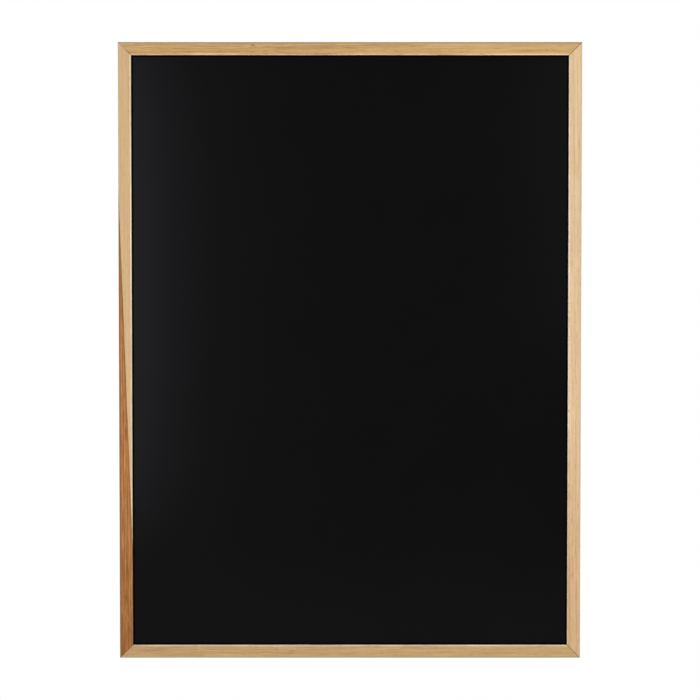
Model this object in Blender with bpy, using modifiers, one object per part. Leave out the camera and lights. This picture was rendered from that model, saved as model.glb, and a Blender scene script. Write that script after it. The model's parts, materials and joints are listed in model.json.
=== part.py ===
"""A wall chalkboard: a black-lacquered panel in a mitred pine frame.

Metres, +Z up. The writing face looks along -Y and the frame's back lies in the
plane Y = 0. The origin is the middle of that back plane, where the wall is.
"""
import math

import bmesh
import bpy
from mathutils import Matrix, Vector

MM = 0.001

# Board, hung upright
board_width = 600 * MM
board_height = 800 * MM

# Pine moulding, cut to a rabbet that the panel drops into from behind
face_width = 17 * MM
frame_depth = 16 * MM
lip_thickness = 5 * MM
rabbet_width = 6 * MM
outer_arris_radius = 0.8 * MM
inner_arris_radius = 1.2 * MM
arris_segments = 4
mitre_gap = 0.3 * MM

# Clearance that is left wherever two pieces touch
seat_gap = 0.3 * MM

# Lacquered hardboard panel
panel_thickness = 3 * MM
panel_play = 0.5 * MM
panel_edge_bevel = 0.3 * MM

# V-nails that pin each mitre from behind
nail_thickness = 0.5 * MM
nail_leg = 5 * MM
nail_tip = 0.7 * MM
nail_depth = 10 * MM
nail_sunk = 0.2 * MM
nail_margin = 3.5 * MM

# Flexible points that hold the panel in its rabbet
point_length = 16 * MM
point_width = 6 * MM
point_thickness = 0.5 * MM
point_taper = 3 * MM
point_driven = 7.5 * MM
point_end_distance = 140 * MM
points_per_stile = 3
points_per_rail = 2

# Folded strap of a hanger, with the knuckle that its ring turns in
strap_width = 7 * MM
strap_sheet = 0.8 * MM
strap_slit = 0.3 * MM
strap_end_flat = 1 * MM
strap_tail = 3.6 * MM
knuckle_shoulder = 0.5 * MM
knuckle_run = 2.6 * MM
knuckle_wrap = math.radians(225)
knuckle_steps = 12

# Ring of a hanger: a D of round wire
ring_wire = 1.6 * MM
ring_leg = 4.5 * MM
ring_side_clearance = 0.4 * MM
ring_corner_steps = 4
ring_bow_steps = 12

# Pan-head screw of a hanger
screw_head_radius = 2.6 * MM
screw_head_height = 1.7 * MM
screw_head_rim = 0.5 * MM
screw_shank_radius = 1.25 * MM
screw_length = 11 * MM
screw_tip = 2.5 * MM
screw_steps = 20
ring_to_screw_gap = 1.4 * MM

# Hangers: two for hanging upright, two for hanging on the long side
hanger_offset = 0.6 * MM
hanger_below_top = 100 * MM
hanger_from_side = 100 * MM

# Cutters run this far past the surface that they open
cutter_overrun = 1 * MM

# Faces that meet at less than this angle are shaded as one round surface
smooth_angle = math.radians(35)

# Sizes that follow from the ones above
back_width = face_width - rabbet_width
panel_front = -frame_depth + lip_thickness + seat_gap
panel_back = panel_front + panel_thickness
point_middle = panel_back + seat_gap + point_thickness / 2
wire_radius = ring_wire / 2
strap_half = strap_width / 2
knuckle_half = strap_half - knuckle_shoulder
ring_half = strap_half + ring_side_clearance + wire_radius
ring_reach = ring_leg + ring_half
ring_corner = ring_half - knuckle_half - seat_gap
lower_leaf = seat_gap + strap_sheet / 2
upper_leaf = lower_leaf + strap_sheet + strap_slit
knuckle_radius = wire_radius + seat_gap + strap_sheet / 2
bar_height = lower_leaf + knuckle_radius
strap_top = upper_leaf + strap_sheet / 2
screw_distance = ring_reach + wire_radius + ring_to_screw_gap + screw_head_radius
strap_reach = screw_distance + strap_tail
screw_seat = strap_top + seat_gap
pilot_radius = screw_shank_radius + seat_gap
pilot_depth = screw_length - screw_seat + seat_gap
hanger_inset = back_width / 2 + hanger_offset

# The folded ring leans out until its bow clears the edges of the strap
bow_crossing = ring_leg + math.sqrt(max(ring_half ** 2 - strap_half ** 2, 0.0))
fold_lean = math.asin((strap_top + wire_radius + seat_gap - bar_height) / bow_crossing)
open_lean = math.asin((bar_height - wire_radius - seat_gap) / ring_reach)


def linear_colour(code):
    """Turn an sRGB code such as D2B183 into a linear RGBA colour."""
    channels = []
    for start in (0, 2, 4):
        value = int(code[start:start + 2], 16) / 255
        channels.append(value / 12.92 if value <= 0.04045 else ((value + 0.055) / 1.055) ** 2.4)
    return (*channels, 1.0)


def make_material(name, colour, roughness, metallic):
    material = bpy.data.materials.new(name)
    material.use_nodes = True
    shader = material.node_tree.nodes["Principled BSDF"]
    shader.inputs["Base Color"].default_value = linear_colour(colour)
    shader.inputs["Roughness"].default_value = roughness
    shader.inputs["Metallic"].default_value = metallic
    material.diffuse_color = linear_colour(colour)
    return material


def clear_scene():
    for scene_object in list(bpy.data.objects):
        bpy.data.objects.remove(scene_object)


def new_collection(name, parent=None):
    collection = bpy.data.collections.new(name)
    (parent or bpy.context.scene.collection).children.link(collection)
    return collection


def add_object(name, data, collection, matrix=None, material=None):
    """Link data to a collection as a new object, placed by a matrix."""
    new_object = bpy.data.objects.new(name, data)
    collection.objects.link(new_object)
    if matrix is not None:
        new_object.matrix_world = matrix
    if material is not None:
        new_object.data.materials.clear()
        new_object.data.materials.append(material)
    return new_object


def mark_cutter(cutter):
    cutter.display_type = 'WIRE'
    cutter.hide_render = True


def rounded_outline(corners, steps):
    """Points of a closed outline whose corners (x, y, radius) are rounded."""
    points = []
    count = len(corners)
    for index, (x, y, radius) in enumerate(corners):
        corner = Vector((x, y))
        if radius <= 0:
            points.append(corner)
            continue
        before = Vector(corners[index - 1][:2])
        after = Vector(corners[(index + 1) % count][:2])
        to_before = (before - corner).normalized()
        to_after = (after - corner).normalized()
        half_angle = to_before.angle(to_after) / 2
        middle = corner + (to_before + to_after).normalized() * radius / math.sin(half_angle)
        start = corner + to_before * radius / math.tan(half_angle) - middle
        end = corner + to_after * radius / math.tan(half_angle) - middle
        turn = math.atan2(start.x * end.y - start.y * end.x, start.dot(end))
        for step in range(steps + 1):
            points.append(middle + Matrix.Rotation(turn * step / steps, 2) @ start)
    return points


def strip_outline(path, half_thickness):
    """Closed outline of a strip of sheet that follows a path, with square ends."""
    one_side = []
    other_side = []
    last = len(path) - 1
    for index, point in enumerate(path):
        arriving = (point - path[max(index - 1, 0)]).normalized()
        leaving = (path[min(index + 1, last)] - point).normalized()
        if index == 0:
            arriving = leaving
        if index == last:
            leaving = arriving
        along = (arriving + leaving).normalized()
        across = Vector((-along.y, along.x))
        reach = half_thickness / along.dot(leaving)
        one_side.append(point + across * reach)
        other_side.append(point - across * reach)
    return one_side + other_side[::-1]


def lengthened(path, extra):
    """The same path with both of its ends drawn out."""
    first = path[0] + (path[0] - path[1]).normalized() * extra
    last = path[-1] + (path[-1] - path[-2]).normalized() * extra
    return [first] + path[1:-1] + [last]


def outline_curve(name, points, half_thickness):
    """A flat outline in the curve's XY plane, filled and given a thickness along Z."""
    curve = bpy.data.curves.new(name, 'CURVE')
    curve.dimensions = '2D'
    curve.fill_mode = 'BOTH'
    curve.extrude = half_thickness
    spline = curve.splines.new('POLY')
    spline.points.add(len(points) - 1)
    for spline_point, point in zip(spline.points, points):
        spline_point.co = (point[0], point[1], 0.0, 1.0)
    spline.use_cyclic_u = True
    spline.use_smooth = False
    return curve


def outline_mesh_object(name, points, half_thickness, collection, matrix, material=None):
    """The same outline as a welded closed mesh, ready to be cut or to cut."""
    curve_object = add_object(name + "_outline", outline_curve(name, points, half_thickness), collection, matrix)
    bpy.context.view_layer.update()
    evaluated = curve_object.evaluated_get(bpy.context.evaluated_depsgraph_get())
    mesh = bpy.data.meshes.new_from_object(evaluated)
    bpy.data.objects.remove(curve_object)
    welded = bmesh.new()
    welded.from_mesh(mesh)
    bmesh.ops.remove_doubles(welded, verts=welded.verts, dist=0.01 * MM)
    bmesh.ops.recalc_face_normals(welded, faces=welded.faces)
    welded.to_mesh(mesh)
    welded.free()
    return add_object(name, mesh, collection, matrix, material)


def box_mesh(name, size):
    mesh = bpy.data.meshes.new(name)
    block = bmesh.new()
    bmesh.ops.create_cube(block, size=1.0)
    bmesh.ops.scale(block, vec=size, verts=block.verts)
    block.to_mesh(mesh)
    block.free()
    return mesh


def cylinder_mesh(name, radius, length, steps):
    mesh = bpy.data.meshes.new(name)
    rod = bmesh.new()
    bmesh.ops.create_cone(
        rod, cap_ends=True, segments=steps, radius1=radius, radius2=radius, depth=length)
    rod.to_mesh(mesh)
    rod.free()
    return mesh


def boolean(target, cutter, operation):
    modifier = target.modifiers.new(cutter.name, 'BOOLEAN')
    modifier.operation = operation
    modifier.solver = 'EXACT'
    modifier.object = cutter


def cut_all(target, cuts):
    """Cut every solid of a collection out of a piece in one go."""
    modifier = target.modifiers.new(cuts.name, 'BOOLEAN')
    modifier.operation = 'DIFFERENCE'
    modifier.solver = 'EXACT'
    modifier.operand_type = 'COLLECTION'
    modifier.collection = cuts


def smooth_by_angle_nodes():
    """Node group that shades round faces smooth and leaves the sharper edges hard."""
    group = bpy.data.node_groups.new("smooth by angle", 'GeometryNodeTree')
    group.interface.new_socket("Geometry", in_out='INPUT', socket_type='NodeSocketGeometry')
    group.interface.new_socket("Geometry", in_out='OUTPUT', socket_type='NodeSocketGeometry')
    entry = group.nodes.new('NodeGroupInput')
    result = group.nodes.new('NodeGroupOutput')
    edge_angle = group.nodes.new('GeometryNodeInputMeshEdgeAngle')
    is_round = group.nodes.new('FunctionNodeCompare')
    is_round.operation = 'LESS_THAN'
    is_round.inputs[1].default_value = smooth_angle
    smooth_faces = group.nodes.new('GeometryNodeSetShadeSmooth')
    smooth_edges = group.nodes.new('GeometryNodeSetShadeSmooth')
    smooth_edges.domain = 'EDGE'
    group.links.new(entry.outputs[0], smooth_faces.inputs["Geometry"])
    group.links.new(smooth_faces.outputs[0], smooth_edges.inputs["Geometry"])
    group.links.new(edge_angle.outputs["Unsigned Angle"], is_round.inputs[0])
    group.links.new(is_round.outputs[0], smooth_edges.inputs["Shade Smooth"])
    group.links.new(smooth_edges.outputs[0], result.inputs[0])
    return group


def smooth_round_faces(pieces, group):
    for piece in pieces:
        piece.modifiers.new("smooth by angle", 'NODES').node_group = group


# Each frame member has its own axes: X from its outer edge towards the middle of
# the board, Y towards the wall, and Z along its length.
def member_matrix(position, turn):
    return Matrix.Translation(position) @ Matrix.Rotation(turn, 4, 'Y')


member_places = {
    "left_stile": (member_matrix((-board_width / 2, 0, 0), 0), board_height),
    "right_stile": (member_matrix((board_width / 2, 0, 0), math.pi), board_height),
    "top_rail": (member_matrix((0, 0, board_height / 2), math.pi / 2), board_width),
    "bottom_rail": (member_matrix((0, 0, -board_height / 2), -math.pi / 2), board_width),
}

# Turned this way, an outline's X and Y run along a member's X and Z, and its
# thickness runs from the front of the board to the wall
FACING_WALL = Matrix.Rotation(math.pi / 2, 4, 'X')

# Corner axes: both legs of the frame's corner run along X and Z from the corner
corner_places = {
    "bottom_left": member_matrix((-board_width / 2, 0, -board_height / 2), 0),
    "top_left": member_matrix((-board_width / 2, 0, board_height / 2), math.pi / 2),
    "top_right": member_matrix((board_width / 2, 0, board_height / 2), math.pi),
    "bottom_right": member_matrix((board_width / 2, 0, -board_height / 2), -math.pi / 2),
}
members_at_corner = {
    "bottom_left": ("left_stile", "bottom_rail"),
    "top_left": ("left_stile", "top_rail"),
    "top_right": ("right_stile", "top_rail"),
    "bottom_right": ("right_stile", "bottom_rail"),
}

# Hanger axes: X along the ring's bar, Y away from the wood, and Z the way that
# the ring points when the board hangs from it
hanger_places = {
    "left": ("left_stile", member_matrix(
        (-board_width / 2 + hanger_inset, 0, board_height / 2 - hanger_below_top), 0)),
    "right": ("right_stile", member_matrix(
        (board_width / 2 - hanger_inset, 0, board_height / 2 - hanger_below_top), 0)),
    "top": ("top_rail", member_matrix(
        (-board_width / 2 + hanger_from_side, 0, board_height / 2 - hanger_inset), -math.pi / 2)),
    "bottom": ("bottom_rail", member_matrix(
        (-board_width / 2 + hanger_from_side, 0, -board_height / 2 + hanger_inset), -math.pi / 2)),
}


def moulding_outline():
    """Cross-section of the moulding: X from the outer edge, Y from the wall."""
    return rounded_outline([
        (0, -frame_depth, outer_arris_radius),
        (face_width, -frame_depth, inner_arris_radius),
        (face_width, -frame_depth + lip_thickness, 0),
        (back_width, -frame_depth + lip_thickness, 0),
        (back_width, 0, 0),
        (0, 0, outer_arris_radius),
    ], arris_segments)


def make_member(name, material, parts):
    """A length of moulding whose ends slope back with the distance from its outer edge."""
    matrix, length = member_places[name]
    member = outline_mesh_object(name, moulding_outline(), length / 2, parts, matrix, material)
    mitre_setback = mitre_gap / 2 * math.sqrt(2)
    for vertex in member.data.vertices:
        mitred = length / 2 - vertex.co.x - mitre_setback
        vertex.co.z = math.copysign(mitred, vertex.co.z)
    return member


def make_panel(material, parts):
    pocket = Vector((board_width - 2 * back_width, 0, board_height - 2 * back_width))
    size = (pocket.x - 2 * panel_play, panel_thickness, pocket.z - 2 * panel_play)
    middle = (0, (panel_front + panel_back) / 2, 0)
    panel = add_object("chalk_panel", box_mesh("chalk_panel", size), parts, Matrix.Translation(middle), material)
    eased = panel.modifiers.new("eased edges", 'BEVEL')
    eased.width = panel_edge_bevel
    eased.segments = 1


def nail_path():
    """Middle line of a V-nail, seen from the wall, with its point at the origin."""
    turned_in = nail_tip / math.sqrt(2)
    return [
        Vector((nail_leg + turned_in, turned_in)),
        Vector((nail_leg, 0)),
        Vector((0, 0)),
        Vector((0, nail_leg)),
        Vector((turned_in, nail_leg + turned_in)),
    ]


def make_nails(material, parts, cutters, cuts):
    """Two V-nails in each corner, and for each a slot that both members share."""
    nail_shape = outline_curve("v_nail", strip_outline(nail_path(), nail_thickness / 2), nail_depth / 2)
    slot_outline = strip_outline(lengthened(nail_path(), seat_gap), nail_thickness / 2 + seat_gap)
    slot_back = cutter_overrun
    slot_front = -nail_sunk - nail_depth - seat_gap
    for corner, corner_matrix in corner_places.items():
        for place, inset in (("outer", nail_margin), ("inner", back_width - nail_margin)):
            nail_centre = Matrix.Translation((inset, -nail_sunk - nail_depth / 2, inset))
            add_object(f"v_nail_{corner}_{place}", nail_shape, parts,
                       corner_matrix @ nail_centre @ FACING_WALL, material)
            slot_centre = Matrix.Translation((inset, (slot_back + slot_front) / 2, inset))
            slot = outline_mesh_object(
                f"slot_v_nail_{corner}_{place}", slot_outline, (slot_back - slot_front) / 2,
                cutters, corner_matrix @ slot_centre @ FACING_WALL)
            mark_cutter(slot)
            for member_name in members_at_corner[corner]:
                cuts[member_name].objects.link(slot)


def point_outline():
    """A flexible point: X runs from its sharp end, in the wood, to its square end."""
    half = point_width / 2
    return [
        (0, 0),
        (point_taper, -half),
        (point_length, -half),
        (point_length, half),
        (point_taper, half),
    ]


def point_positions(length, count):
    """Places along a member, evenly spread between its two ends."""
    reach = length / 2 - point_end_distance
    return [-reach + 2 * reach * index / (count - 1) for index in range(count)]


def make_points(material, parts, cuts):
    """Flexible points over the panel's back, each in a slot in the rabbet's wall."""
    point_shape = outline_curve("flexible_point", point_outline(), point_thickness / 2)
    slot_size = (
        point_driven + seat_gap + cutter_overrun,
        point_thickness + 2 * seat_gap,
        point_width + 2 * seat_gap,
    )
    slot_shape = box_mesh("slot_point", slot_size)
    slot_middle = back_width + cutter_overrun - slot_size[0] / 2
    for member_name, (matrix, length) in member_places.items():
        side = member_name.split("_")[0]
        count = points_per_stile if member_name.endswith("stile") else points_per_rail
        for number, along in enumerate(point_positions(length, count), start=1):
            place = Matrix.Translation((back_width - point_driven, point_middle, along))
            add_object(f"point_{side}_{number}", point_shape, parts, matrix @ place @ FACING_WALL, material)
            slot_place = Matrix.Translation((slot_middle, point_middle, along))
            slot = add_object(
                f"slot_point_{side}_{number}", slot_shape, cuts[member_name], matrix @ slot_place)
            mark_cutter(slot)


def strap_path():
    """Side view of the folded strap: X towards the ring's bar, Y away from the wood."""
    tail = -strap_reach - cutter_overrun
    path = [Vector((tail, lower_leaf))]
    for step in range(knuckle_steps + 1):
        angle = -math.pi / 2 + knuckle_wrap * step / knuckle_steps
        around = Vector((math.cos(angle), math.sin(angle))) * knuckle_radius
        path.append(Vector((0, bar_height)) + around)
    end_angle = -math.pi / 2 + knuckle_wrap
    leaving = Vector((-math.sin(end_angle), math.cos(end_angle)))
    drop = (path[-1].y - upper_leaf) / -leaving.y
    path.append(path[-1] + leaving * drop)
    path.append(Vector((tail, upper_leaf)))
    return path


def strap_plan():
    """The strap seen from the wall: narrow at the knuckle, round at its far end."""
    end_radius = strap_half - strap_end_flat / 2
    knuckle_end = knuckle_radius + strap_sheet
    return rounded_outline([
        (-knuckle_half, knuckle_end, 0),
        (-knuckle_half, -knuckle_run, 0),
        (-strap_half, -knuckle_run - knuckle_shoulder, 0),
        (-strap_half, -strap_reach, end_radius),
        (strap_half, -strap_reach, end_radius),
        (strap_half, -knuckle_run - knuckle_shoulder, 0),
        (knuckle_half, -knuckle_run, 0),
        (knuckle_half, knuckle_end, 0),
    ], 2 * arris_segments)


def make_strap(name, matrix, material, parts, cutters):
    side_view = Matrix.Rotation(-math.pi / 2, 4, 'Y')
    outline = strip_outline(strap_path(), strap_sheet / 2)
    strap = outline_mesh_object(name, outline, strap_half + cutter_overrun, parts, matrix @ side_view, material)
    plan = outline_mesh_object(
        "plan_" + name, strap_plan(), bar_height + knuckle_radius + strap_sheet, cutters, matrix @ FACING_WALL)
    mark_cutter(plan)
    boolean(strap, plan, 'INTERSECT')
    return strap


def ring_points():
    """Middle line of the folded ring: its bar on the X axis, its bow down along -Z."""
    straight = ring_half - ring_corner
    points = []
    for step in range(ring_corner_steps + 1):
        angle = math.pi / 2 * (1 - step / ring_corner_steps)
        points.append((straight + ring_corner * math.cos(angle), -ring_corner * (1 - math.sin(angle))))
    for step in range(ring_bow_steps + 1):
        angle = -math.pi * step / ring_bow_steps
        points.append((ring_half * math.cos(angle), -ring_leg + ring_half * math.sin(angle)))
    for step in range(ring_corner_steps + 1):
        angle = math.pi / 2 * (1 + (1 - step / ring_corner_steps))
        points.append((-straight + ring_corner * math.cos(angle), -ring_corner * (1 - math.sin(angle))))
    return points


def ring_curve():
    curve = bpy.data.curves.new("hanger_ring", 'CURVE')
    curve.dimensions = '3D'
    curve.bevel_depth = wire_radius
    curve.bevel_resolution = 2
    curve.use_fill_caps = True
    spline = curve.splines.new('POLY')
    points = ring_points()
    spline.points.add(len(points) - 1)
    for spline_point, (x, z) in zip(spline.points, points):
        spline_point.co = (x, 0.0, z, 1.0)
    spline.use_cyclic_u = True
    return curve


def screw_mesh():
    """Profile of the screw from the top of its domed head down to its tip."""
    dome_steps = 4
    profile = []
    for step in range(dome_steps + 1):
        angle = math.pi / 2 * step / dome_steps
        height = screw_head_rim + (screw_head_height - screw_head_rim) * math.cos(angle)
        profile.append((screw_head_radius * math.sin(angle), height))
    profile.append((screw_head_radius, 0.0))
    profile.append((screw_shank_radius, 0.0))
    profile.append((screw_shank_radius, -screw_length + screw_tip))
    profile.append((0.0, -screw_length))
    mesh = bpy.data.meshes.new("hanger_screw")
    edges = [(index, index + 1) for index in range(len(profile) - 1)]
    mesh.from_pydata([(x, 0.0, z) for x, z in profile], edges, [])
    return mesh


def turn_profile(turned):
    spin = turned.modifiers.new("turned", 'SCREW')
    spin.axis = 'Z'
    spin.steps = screw_steps
    spin.render_steps = screw_steps
    spin.use_merge_vertices = True
    spin.merge_threshold = 0.00001


def make_hangers(materials, parts, cutters, cuts):
    """A strap, its ring and its screw at each of the four places, with their holes."""
    smooth_pieces = []
    ring_shape = ring_curve()
    screw_shape = screw_mesh()
    head_out = Matrix.Rotation(-math.pi / 2, 4, 'X')
    hole_length = pilot_depth + bar_height + knuckle_radius
    hole_shape = cylinder_mesh("pilot_hole", pilot_radius, hole_length, screw_steps)
    for side, (member_name, matrix) in hanger_places.items():
        strap = make_strap(f"hanger_strap_{side}", matrix, materials["strap"], parts, cutters)
        pivot = add_object(f"hanger_pivot_{side}", None, parts, matrix @ Matrix.Translation((0, bar_height, 0)))
        pivot.empty_display_size = ring_half
        ring = add_object(f"hanger_ring_{side}", ring_shape, parts, None, materials["ring"])
        ring.parent = pivot
        ring.rotation_euler = (fold_lean, 0, 0)
        screw_place = Matrix.Translation((0, screw_seat, -screw_distance))
        screw = add_object(f"hanger_screw_{side}", screw_shape, parts, matrix @ screw_place @ head_out,
                           materials["screw"])
        turn_profile(screw)
        hole_place = Matrix.Translation((0, hole_length / 2 - pilot_depth, -screw_distance))
        hole = add_object(f"pilot_{side}", hole_shape, cuts[member_name], matrix @ hole_place @ head_out)
        mark_cutter(hole)
        boolean(strap, hole, 'DIFFERENCE')
        smooth_pieces += [strap, screw]
    return smooth_pieces


def build():
    clear_scene()
    parts = new_collection("chalkboard")
    cutters = new_collection("cutters")
    wood = {
        "left_stile": make_material("pine_left_stile", "CDA87A", 0.55, 0.0),
        "right_stile": make_material("pine_right_stile", "DBB88D", 0.55, 0.0),
        "top_rail": make_material("pine_top_rail", "C7A36D", 0.55, 0.0),
        "bottom_rail": make_material("pine_bottom_rail", "C09E71", 0.55, 0.0),
    }
    hanger_metal = {
        "strap": make_material("zinc_plated_strap", "B9B8B0", 0.35, 1.0),
        "ring": make_material("zinc_plated_wire", "C2C1BA", 0.28, 1.0),
        "screw": make_material("zinc_plated_screw", "BEBDB5", 0.3, 1.0),
    }
    members = {name: make_member(name, material, parts) for name, material in wood.items()}
    cuts = {name: new_collection("cuts_" + name, cutters) for name in members}
    make_panel(make_material("chalk_lacquer", "121213", 0.6, 0.0), parts)
    make_nails(make_material("nail_steel", "8E8F90", 0.4, 1.0), parts, cutters, cuts)
    make_points(make_material("point_steel", "9A9B9C", 0.35, 1.0), parts, cuts)
    smooth_pieces = make_hangers(hanger_metal, parts, cutters, cuts)
    for name, member in members.items():
        cut_all(member, cuts[name])
    smooth_round_faces(smooth_pieces + list(members.values()), smooth_by_angle_nodes())
    bpy.context.view_layer.update()
    print(f"folded ring leans {math.degrees(fold_lean):.2f} degrees out from its strap")
    print(f"ring opens {180 - math.degrees(fold_lean) + math.degrees(open_lean):.2f} degrees")


build()
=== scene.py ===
# %% [markdown]
# # Dressing a framed chalkboard
#
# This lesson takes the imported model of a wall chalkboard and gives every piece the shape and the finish
# of the real one. The board is a sheet of black-lacquered hardboard in a narrow frame of bare pine moulding.
# Behind, V-nails pin the mitres, flexible points hold the sheet, and four folded hangers carry it on a wall.
#
# All lengths are in metres. Z is up, the writing face looks along -Y, and the frame's back is at Y = 0.

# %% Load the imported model
import json
import math

import bmesh
import bpy
from mathutils import Matrix, Vector

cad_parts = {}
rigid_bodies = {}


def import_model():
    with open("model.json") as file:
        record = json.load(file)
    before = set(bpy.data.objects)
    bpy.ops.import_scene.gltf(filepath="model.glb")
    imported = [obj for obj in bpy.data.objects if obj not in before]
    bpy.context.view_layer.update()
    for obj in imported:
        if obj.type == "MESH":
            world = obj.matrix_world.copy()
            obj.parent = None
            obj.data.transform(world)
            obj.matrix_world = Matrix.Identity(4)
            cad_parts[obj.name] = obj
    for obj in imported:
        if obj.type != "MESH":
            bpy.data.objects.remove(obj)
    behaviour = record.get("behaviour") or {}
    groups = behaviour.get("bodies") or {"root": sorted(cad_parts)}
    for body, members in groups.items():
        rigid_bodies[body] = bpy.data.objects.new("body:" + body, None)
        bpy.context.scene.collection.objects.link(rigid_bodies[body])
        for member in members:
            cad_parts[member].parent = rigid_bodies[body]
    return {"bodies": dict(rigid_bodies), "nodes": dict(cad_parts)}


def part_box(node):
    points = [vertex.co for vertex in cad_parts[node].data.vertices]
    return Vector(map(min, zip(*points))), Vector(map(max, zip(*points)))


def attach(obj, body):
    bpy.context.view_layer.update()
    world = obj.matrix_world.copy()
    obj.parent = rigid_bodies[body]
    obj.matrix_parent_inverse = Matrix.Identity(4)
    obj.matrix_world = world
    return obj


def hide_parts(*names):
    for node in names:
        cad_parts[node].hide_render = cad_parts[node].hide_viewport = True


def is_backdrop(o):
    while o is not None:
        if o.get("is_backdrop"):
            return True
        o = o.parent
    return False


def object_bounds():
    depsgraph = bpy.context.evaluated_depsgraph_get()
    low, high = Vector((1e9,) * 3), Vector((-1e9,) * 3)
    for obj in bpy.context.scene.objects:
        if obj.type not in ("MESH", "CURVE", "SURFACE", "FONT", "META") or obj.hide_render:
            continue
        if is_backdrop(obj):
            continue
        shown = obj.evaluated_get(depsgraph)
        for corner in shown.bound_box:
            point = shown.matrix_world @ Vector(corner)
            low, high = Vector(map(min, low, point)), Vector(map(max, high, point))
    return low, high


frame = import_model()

# %% [markdown]
# ## An empty stage
#
# A new Blender file holds a cube, a lamp and a camera of its own. They would show in the picture and widen
# the measured box, so everything that isn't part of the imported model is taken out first.

# %% Clear what Blender starts with and measure the model
own_objects = set(frame["nodes"].values()) | set(frame["bodies"].values())
for stray in [thing for thing in bpy.data.objects if thing not in own_objects]:
    bpy.data.objects.remove(stray)
cad_low, cad_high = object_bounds()
MM = 0.001
print(f"{len(frame['nodes'])} solids, {[round(size / MM, 1) for size in cad_high - cad_low]} mm over all")

# %% [markdown]
# ## One helper for every tree of nodes
#
# Materials and Geometry Nodes are both trees. By hand, each node takes a line, and so does each setting and
# each link. One small function does all three. Its inputs are a list in the node's own order, or go by name,
# and it finds a node by the end of its type's name, such as Mix for ShaderNodeMix. A colour picked from a
# screen is an sRGB code, while nodes count light, so codes are turned into linear values on the way.

# %% Colour codes
def linear_colour(code):
    """Turn an sRGB code such as D2B183 into a linear RGBA colour."""
    channels = []
    for start in (0, 2, 4):
        value = int(code[start:start + 2], 16) / 255
        channels.append(value / 12.92 if value <= 0.04045 else ((value + 0.055) / 1.055) ** 2.4)
    return (*channels, 1.0)


# %% Add a node
node_families = ("ShaderNode", "GeometryNode", "FunctionNode", "Node")
# a fade between two values that starts and ends gently
gently = {"interpolation_type": 'SMOOTHSTEP'}


def find_socket(sockets, key):
    """A socket by its number, or the one in use that has this name."""
    if isinstance(key, int):
        return sockets[key]
    return next(socket for socket in sockets if socket.name == key and socket.enabled)


def fill_inputs(tree, node, inputs):
    """Give inputs, in order or by name, their values, colour codes or links."""
    for key, value in inputs.items() if isinstance(inputs, dict) else enumerate(inputs):
        socket = find_socket(node.inputs, key)
        for source in value if isinstance(value, list) else [value]:
            if isinstance(source, bpy.types.Node):
                source = next(output for output in source.outputs if output.enabled)
            if isinstance(source, bpy.types.NodeSocket):
                tree.links.new(source, socket)
            elif socket.type == 'RGBA' and isinstance(source, str):
                socket.default_value = linear_colour(source)
            else:
                socket.default_value = source


def add_node(tree, kind, inputs=(), **settings):
    """Add a node, apply its settings and fill its inputs."""
    family = next(family for family in node_families if hasattr(bpy.types, family + kind))
    node = tree.nodes.new(family + kind)
    for setting, value in settings.items():
        setattr(node, setting, value)
    fill_inputs(tree, node, inputs)
    return node


# %% Start and end a material, a mesh and an object
def new_material(name):
    """A material and its tree, empty and ready for a shader of its own."""
    material = bpy.data.materials.new(name)
    material.use_nodes = True
    material.node_tree.nodes.clear()
    return material, material.node_tree


def end_material(tree, finish):
    """Put a shader with this finish at the end of a material."""
    shader = add_node(tree, 'BsdfPrincipled', finish)
    add_node(tree, 'OutputMaterial', {"Surface": shader})


def mesh_from(shape, name):
    """Turn a shape that is being edited into a mesh."""
    mesh = bpy.data.meshes.new(name)
    shape.to_mesh(mesh)
    shape.free()
    return mesh


def new_object(name, data):
    thing = bpy.data.objects.new(name, data)
    bpy.context.scene.collection.objects.link(thing)
    return thing


def look_along(way):
    """The turn of a camera or lamp that looks this way."""
    return way.to_track_quat('-Z', 'Y').to_euler()


# %% [markdown]
# ## Camera
#
# The board is seen straight on, from just above its middle: its sides draw together by one part in a hundred
# towards the bottom. That is a camera 2.8 m away with a long lens, two degrees up.

# %% Camera
camera_distance = 2.8
camera_elevation = math.radians(2.1)
camera_target = Vector((0.0, -16 * MM, 1.9 * MM))
view_width = 908.5 * MM
towards_camera = Vector((0.0, -math.cos(camera_elevation), math.sin(camera_elevation)))

camera_data = bpy.data.cameras.new("camera")
camera_data.sensor_width = 36
camera_data.lens = camera_data.sensor_width * camera_distance / view_width
camera = new_object("camera", camera_data)
camera.location = camera_target + towards_camera * camera_distance
camera.rotation_euler = look_along(-towards_camera)
bpy.context.scene.camera = camera
print(f"lens {camera_data.lens:.1f} mm")

# %% [markdown]
# ## Light
#
# A product picture is lit softly from large boxes. The world fills every side with even grey light, and is
# white where the camera, a reflection or glass looks at it. Large lamps in front, beside, behind and above
# shape the wood a little. Together they light a white card that faces them to about white, so that a colour
# shows as it is written. The left side of the black sheet mirrors the lamp close beside the camera.

# %% World
def seen_directly(tree):
    """1 for a ray from the camera, a reflection or glass, and 0 for light on its way."""
    ray = add_node(tree, 'LightPath').outputs
    seen = ray["Is Camera Ray"]
    for other_ray in ("Is Glossy Ray", "Is Transmission Ray"):
        seen = add_node(tree, 'Math', [seen, ray[other_ray]], operation='MAXIMUM')
    return seen


fill_light = 0.33
world = bpy.data.worlds.new("even light")
world.use_nodes = True
tree = world.node_tree
tree.nodes.clear()
strength = add_node(tree, 'MapRange', {"Value": seen_directly(tree), "To Min": fill_light, "To Max": 1.0})
sky = add_node(tree, 'Background', {"Color": (1, 1, 1, 1), "Strength": strength})
add_node(tree, 'OutputWorld', {"Surface": sky})
bpy.context.scene.world = world
bpy.context.scene.view_settings.view_transform = 'Standard'

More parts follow.
